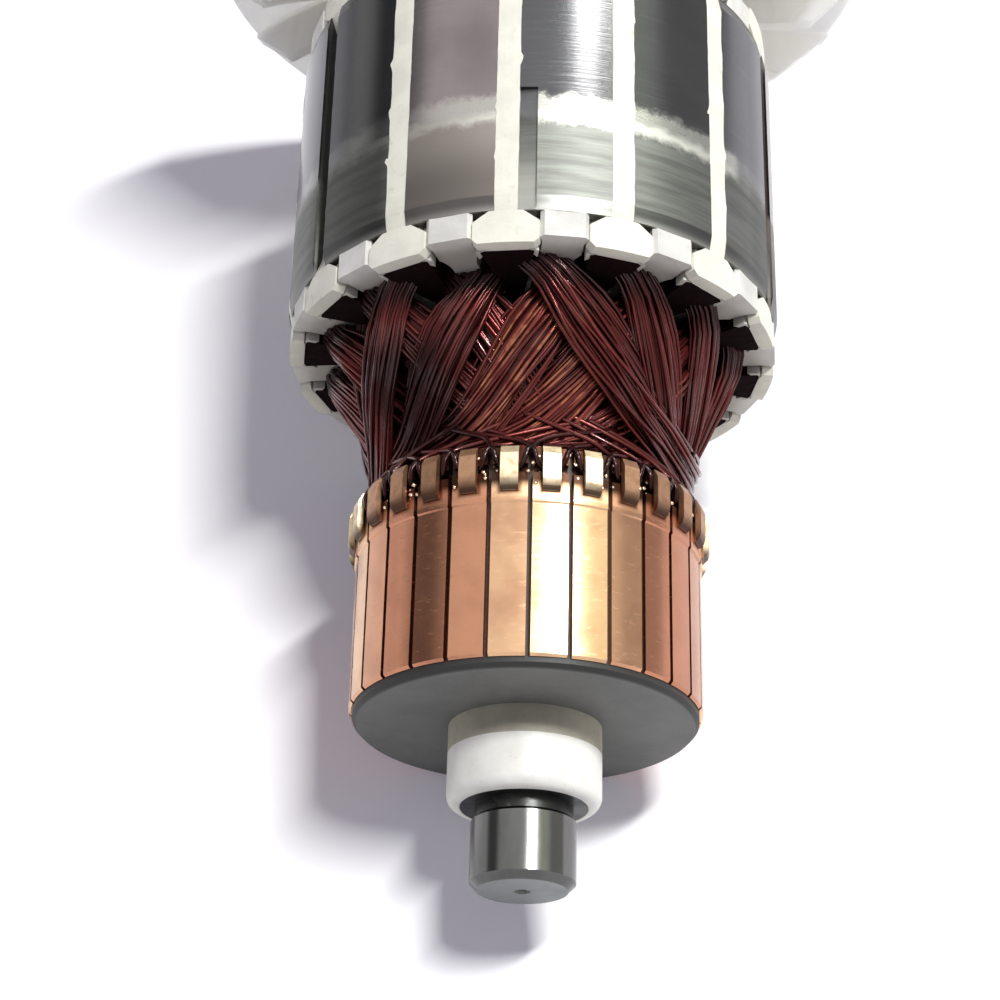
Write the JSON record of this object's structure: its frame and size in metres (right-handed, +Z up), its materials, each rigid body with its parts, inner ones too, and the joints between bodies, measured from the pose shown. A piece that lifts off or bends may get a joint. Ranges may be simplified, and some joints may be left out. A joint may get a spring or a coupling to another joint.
{
  "type": "motor armature",
  "caption": "Universal-motor armature: shaft with hooked copper commutator, slotted lamination stack, wire windings, cream slot insulation and cooling fan.",
  "frame": {"origin": "on the shaft axis, at the middle of the commutator-end bearing journal", "axes": "+Y along the shaft from the commutator end to the drive end, +Z up, +X to the right seen from the commutator end"},
  "size_m": [0.059, 0.1126, 0.059],
  "materials": {
    "steel": "ground and polished steel",
    "cream_sleeve": "cream moulded insulation",
    "white_bush": "white nylon",
    "lamination": "ground lamination steel, fine lines round the axis",
    "slot_insulation": "cream white nylon",
    "enamelled_wire": "dark red-brown enamelled copper wire under clear varnish",
    "moulding": "dark grey phenolic moulding",
    "copper": "turned copper, bright brush track",
    "fan_plastic": "off-white moulded nylon"
  },
  "bodies": {
    "root": {"shaft": "steel", "shaft_sleeve": "cream_sleeve", "insulating_bush": "white_bush", "lamination_stack": "lamination", "front_star_insulator": "slot_insulation", "rear_star_insulator": "slot_insulation", "slot_liners": "slot_insulation", "coil_sides": "enamelled_wire", "front_winding_head": "enamelled_wire", "rear_winding_head": "enamelled_wire", "commutator_moulding": "moulding", "fan": "fan_plastic", "slot_wedge_01": "slot_insulation", "slot_wedge_02": "slot_insulation", "slot_wedge_03": "slot_insulation", "slot_wedge_04": "slot_insulation", "slot_wedge_05": "slot_insulation", "slot_wedge_06": "slot_insulation", "slot_wedge_07": "slot_insulation", "slot_wedge_08": "slot_insulation", "slot_wedge_09": "slot_insulation", "slot_wedge_10": "slot_insulation", "slot_wedge_11": "slot_insulation", "slot_wedge_12": "slot_insulation", "slot_wedge_13": "slot_insulation", "slot_wedge_14": "slot_insulation", "commutator_bar_01": "copper", "commutator_bar_02": "copper", "commutator_bar_03": "copper", "commutator_bar_04": "copper", "commutator_bar_05": "copper", "commutator_bar_06": "copper", "commutator_bar_07": "copper", "commutator_bar_08": "copper", "commutator_bar_09": "copper", "commutator_bar_10": "copper", "commutator_bar_11": "copper", "commutator_bar_12": "copper", "commutator_bar_13": "copper", "commutator_bar_14": "copper", "commutator_bar_15": "copper", "commutator_bar_16": "copper", "commutator_bar_17": "copper", "commutator_bar_18": "copper", "commutator_bar_19": "copper", "commutator_bar_20": "copper", "commutator_bar_21": "copper", "commutator_bar_22": "copper", "commutator_bar_23": "copper", "commutator_bar_24": "copper", "commutator_bar_25": "copper", "commutator_bar_26": "copper", "commutator_bar_27": "copper", "commutator_bar_28": "copper"}
  },
  "joints": []
}
